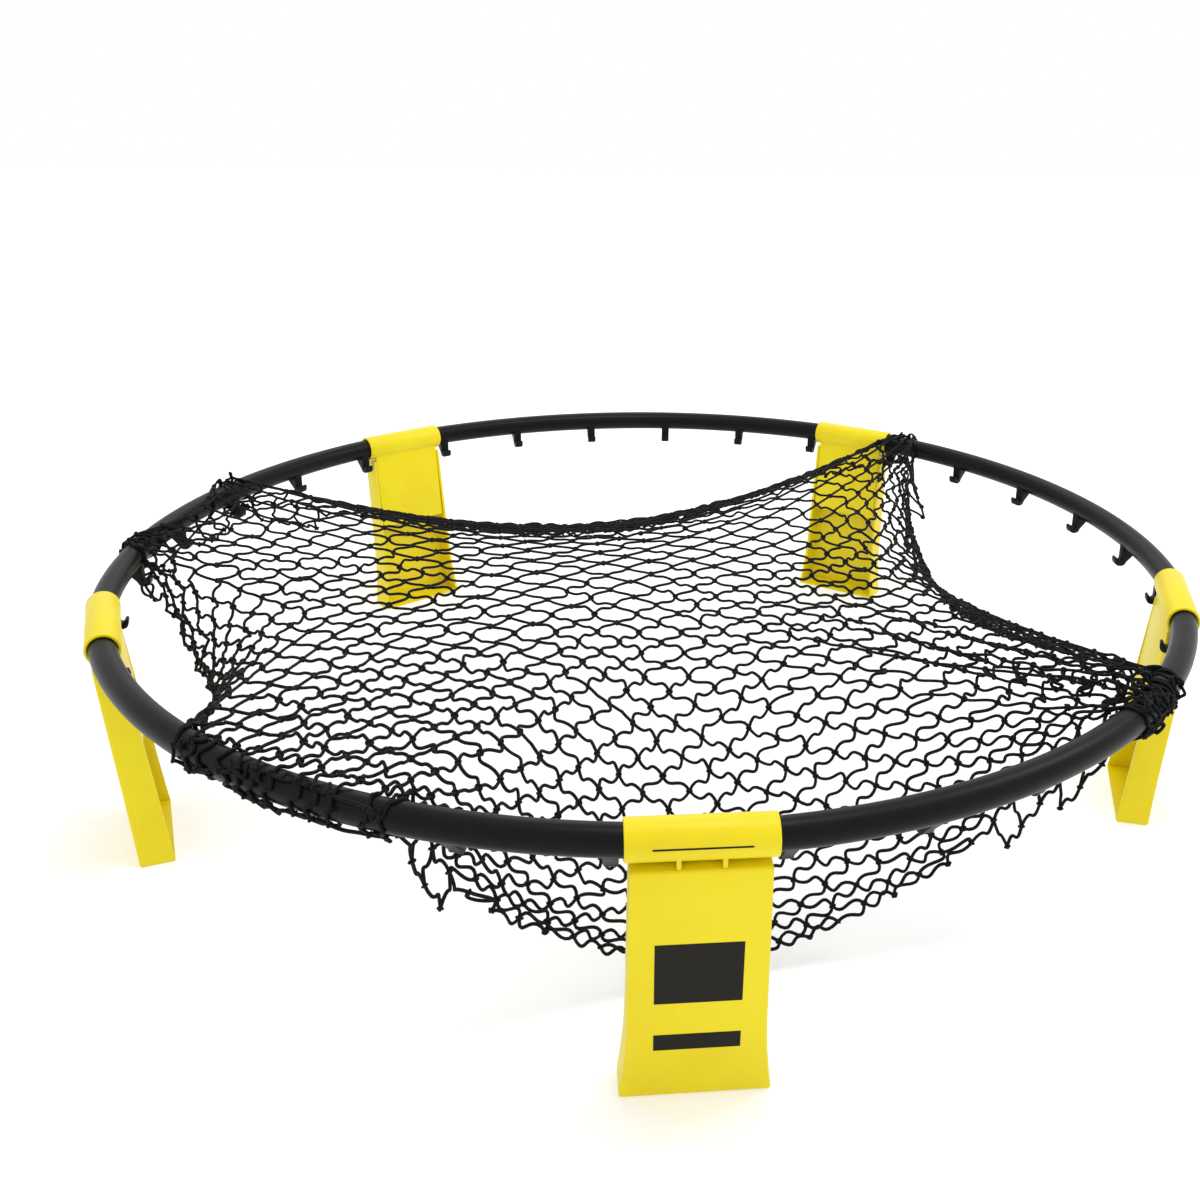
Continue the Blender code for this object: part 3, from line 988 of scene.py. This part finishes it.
def barPaths(place, bars, up, spec, rng):
    # a bar leaves its lower knot upwards and reaches its upper knot from below,
    # and what it is longer than the straight line goes into its two bends
    a, b = bars[:, 0], bars[:, 1]
    start, end = place[a], place[b]
    straight = unit(end - start)
    lean = rng.uniform(*spec["lean"], (2, len(bars), 1))
    first = unit(straight * (1 - lean[0]) + up[a] * lean[0])
    last = unit(straight * (1 - lean[1]) + up[b] * lean[1])
    whole = spec["bar"] * rng.uniform(1 - spec["barSpread"], 1 + spec["barSpread"], len(bars))
    low = np.full(len(bars), 0.3 * spec["bar"])
    high = np.full(len(bars), 2.4 * spec["bar"])
    for _ in range(10):
        middle = (low + high) / 2
        longer = pathLength(hermite(start, end, first, last, middle, 9)) > whole
        high = np.where(longer, middle, high)
        low = np.where(longer, low, middle)
    paths = hermite(start, end, first, last, (low + high) / 2, spec["barSteps"])
    return keepClear(paths, spec)


def keepClear(paths, spec):
    around = ringSpec["tubeRadius"] + spec["cord"] * 0.8
    radius = np.hypot(paths[..., 0], paths[..., 1]) + 1e-9
    out, up = radius - ringSpec["radius"], paths[..., 2] - hingeHeight
    depth = np.hypot(out, up)
    push = np.where(depth < around, around / np.maximum(depth, 1e-6), 1.0)
    paths = paths.copy()
    paths[..., :2] *= ((ringSpec["radius"] + out * push) / radius)[..., None]
    paths[..., 2] = np.maximum(hingeHeight + up * push, spec["cord"])
    return paths


def sweepCords(paths, radius, sides):
    # one closed tube a path; returns vertices, faces and the map along and round each cord
    count, steps, _ = paths.shape
    tangent = unit(np.gradient(paths, axis=1))
    normal = np.zeros_like(paths)
    normal[:, 0] = unit(np.cross(tangent[:, 0], np.array([0.3, 0.2, 0.93])))
    for k in range(1, steps):
        carried = normal[:, k - 1]
        flat = carried - tangent[:, k] * (carried * tangent[:, k]).sum(1, keepdims=True)
        normal[:, k] = unit(flat)
    across = np.cross(tangent, normal)
    turn = np.arange(sides) * math.tau / sides
    ring = (normal[:, :, None] * np.cos(turn)[None, None, :, None]
            + across[:, :, None] * np.sin(turn)[None, None, :, None]) * radius
    verts = (paths[:, :, None] + ring).reshape(-1, 3)
    base = (np.arange(count)[:, None] * steps + np.arange(steps - 1)[None, :]).ravel() * sides
    k = np.arange(sides)
    n = (k + 1) % sides
    quads = np.stack([base[:, None] + k, base[:, None] + n, base[:, None] + sides + n,
                      base[:, None] + sides + k], 2).reshape(-1, 4)
    length = np.concatenate([np.zeros((count, 1)),
                             np.linalg.norm(np.diff(paths, axis=1), axis=2).cumsum(1)], 1)
    v0, v1 = k / sides, (k + 1) / sides
    here = np.repeat(length[:, :-1].ravel(), sides)
    there = np.repeat(length[:, 1:].ravel(), sides)
    rows = (steps - 1) * count
    low, high = np.tile(v0, rows), np.tile(v1, rows)
    uv = np.stack([np.stack([here, low], 1), np.stack([here, high], 1),
                   np.stack([there, high], 1), np.stack([there, low], 1)], 1)
    starts = np.arange(count) * steps * sides
    ends = starts + (steps - 1) * sides
    caps = np.concatenate([starts[:, None] + k[::-1], ends[:, None] + k])
    return verts, quads, uv, caps


def cordPiece(name, paths, spec):
    sides = spec["cordSides"]
    verts, quads, uv, caps = sweepCords(paths, spec["cord"], sides)
    mesh = bpy.data.meshes.new(name)
    corners = np.concatenate([quads.ravel(), caps.ravel()]).astype(np.int32)
    sizes = np.concatenate([np.full(len(quads), 4), np.full(len(caps), sides)])
    mesh.vertices.add(len(verts))
    mesh.vertices.foreach_set("co", verts.ravel())
    mesh.loops.add(len(corners))
    mesh.loops.foreach_set("vertex_index", corners)
    mesh.polygons.add(len(sizes))
    mesh.polygons.foreach_set("loop_start", np.concatenate([[0], sizes.cumsum()[:-1]]))
    mesh.update(calc_edges=True)
    layer = mesh.uv_layers.new(name="cordMap")
    flat = np.concatenate([uv.reshape(-1, 2), np.zeros((caps.size, 2))])
    layer.uv.foreach_set("vector", flat.astype(np.float32).ravel())
    return showPiece(name, mesh, cordMaterial, 70)


def knotPiece(name, place, up, side, normal, spec, rng):
    # the lump of a tied knot: a loop round the bight, and the bight inside it
    bm = bmesh.new()
    cord = spec["cord"] * spec["knot"]
    loop, bits, ringBits = cord * 1.55, 10, 6
    rings = []
    for i in range(bits):
        turn = math.tau * i / bits
        rise = 0.55 * cord * math.sin(turn)
        middle = Vector((loop * 1.15 * math.cos(turn), rise, loop * 0.95 * math.sin(turn)))
        away = Vector((math.cos(turn), 0, math.sin(turn)))
        ring = []
        for k in range(ringBits):
            around = math.tau * k / ringBits
            ring.append(bm.verts.new(middle + away * cord * 0.95 * math.cos(around)
                                     + Vector((0, cord * 0.95 * math.sin(around), 0))))
        rings.append(ring)
    for i, ring in enumerate(rings):
        following = rings[(i + 1) % bits]
        for k in range(ringBits):
            n = (k + 1) % ringBits
            bm.faces.new((ring[k], ring[n], following[n], following[k]))
    bmesh.ops.create_icosphere(bm, subdivisions=1, radius=1.0,
                               matrix=Matrix.Diagonal((cord * 1.9, cord * 2.4, cord * 1.5, 1.0)))
    bmesh.ops.recalc_face_normals(bm, faces=bm.faces)
    bmesh.ops.triangulate(bm, faces=bm.faces)
    bm.verts.index_update()
    local = np.array([v.co for v in bm.verts])
    faces = np.array([[v.index for v in f.verts] for f in bm.faces])
    bm.free()
    size = rng.uniform(0.9, 1.12, (len(place), 1, 1))
    axes = np.stack([side, up, normal], 1)
    verts = (np.einsum("vk,nkc->nvc", local, axes) * size + place[:, None]).reshape(-1, 3)
    every = (faces[None] + (np.arange(len(place)) * len(local))[:, None, None]).reshape(-1, 3)
    mesh = bpy.data.meshes.new(name)
    mesh.vertices.add(len(verts))
    mesh.vertices.foreach_set("co", verts.ravel())
    mesh.loops.add(every.size)
    mesh.loops.foreach_set("vertex_index", every.ravel().astype(np.int32))
    mesh.polygons.add(len(every))
    mesh.polygons.foreach_set("loop_start", np.arange(len(every)) * 3)
    mesh.update(calc_edges=True)
    layer = mesh.uv_layers.new(name="cordMap")
    corners = local[faces.ravel()]
    around = np.arctan2(corners[:, 2], corners[:, 0]) / math.tau
    flat = np.tile(np.stack([around * 0.02, corners[:, 1] / (cord * 6)], 1), (len(place), 1))
    layer.uv.foreach_set("vector", flat.astype(np.float32).ravel())
    return showPiece(name, mesh, cordMaterial, 80)


def makeNet(spec):
    rng = np.random.default_rng(spec["seed"] + 1)
    place, bars = settleNet(spec)
    print("net settled:", len(place), "knots,", len(bars), "bars")
    up, side, normal = knotAxes(place, bars, spec, rng)
    paths = barPaths(place, bars, up, spec, rng)
    front = paths[:, :, 1].mean(1) < np.median(paths[:, :, 1])
    pieces = [cordPiece("netCordFront", paths[front], spec),
              cordPiece("netCordBack", paths[~front], spec),
              knotPiece("netKnots", place, up, side, normal, spec, rng)]
    for piece in pieces:
        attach(piece, "ring")
        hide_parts("net")


makeNet(netSpec)
print("net made")


# floor and light

studio = {
    "floorSize": 14.0,
    "sky": (1.0, 1.0, 1.0),
    "skyStrength": 1.0,
    "lamps": (  # place, size, power, colour
        ((0.3, -0.2, 2.4), 0.9, 14.0, (1.0, 0.99, 0.97)),
        ((1.6, 0.2, 1.9), 0.8, 9.0, (0.98, 0.99, 1.0)),
        ((0.0, 2.2, 2.0), 1.6, 6.0, (1.0, 1.0, 1.0))),
}


def addStudio(setup):
    bpy.ops.mesh.primitive_plane_add(size=setup["floorSize"])
    floor = bpy.context.active_object
    floor.name = "floor"
    floor.data.materials.append(paleFloor(floorLook))
    world = bpy.data.worlds.new("studio")
    world.use_nodes = True
    sky = world.node_tree.nodes["Background"]
    sky.inputs["Color"].default_value = solid(setup["sky"])
    sky.inputs["Strength"].default_value = setup["skyStrength"]
    bpy.context.scene.world = world
    for i, (place, size, power, colour) in enumerate(setup["lamps"]):
        data = bpy.data.lights.new(f"softbox{i + 1}", "AREA")
        data.shape = "DISK"
        data.size = size
        data.energy = power
        data.color = colour
        lamp = bpy.data.objects.new(f"softbox{i + 1}", data)
        lamp.location = place
        ahead = Vector((0, 0, 0.1)) - Vector(place)
        lamp.rotation_euler = ahead.to_track_quat("-Z", "Y").to_euler()
        bpy.context.scene.collection.objects.link(lamp)
    bpy.context.scene.view_settings.view_transform = "Standard"


addStudio(studio)
print("floor and light set")
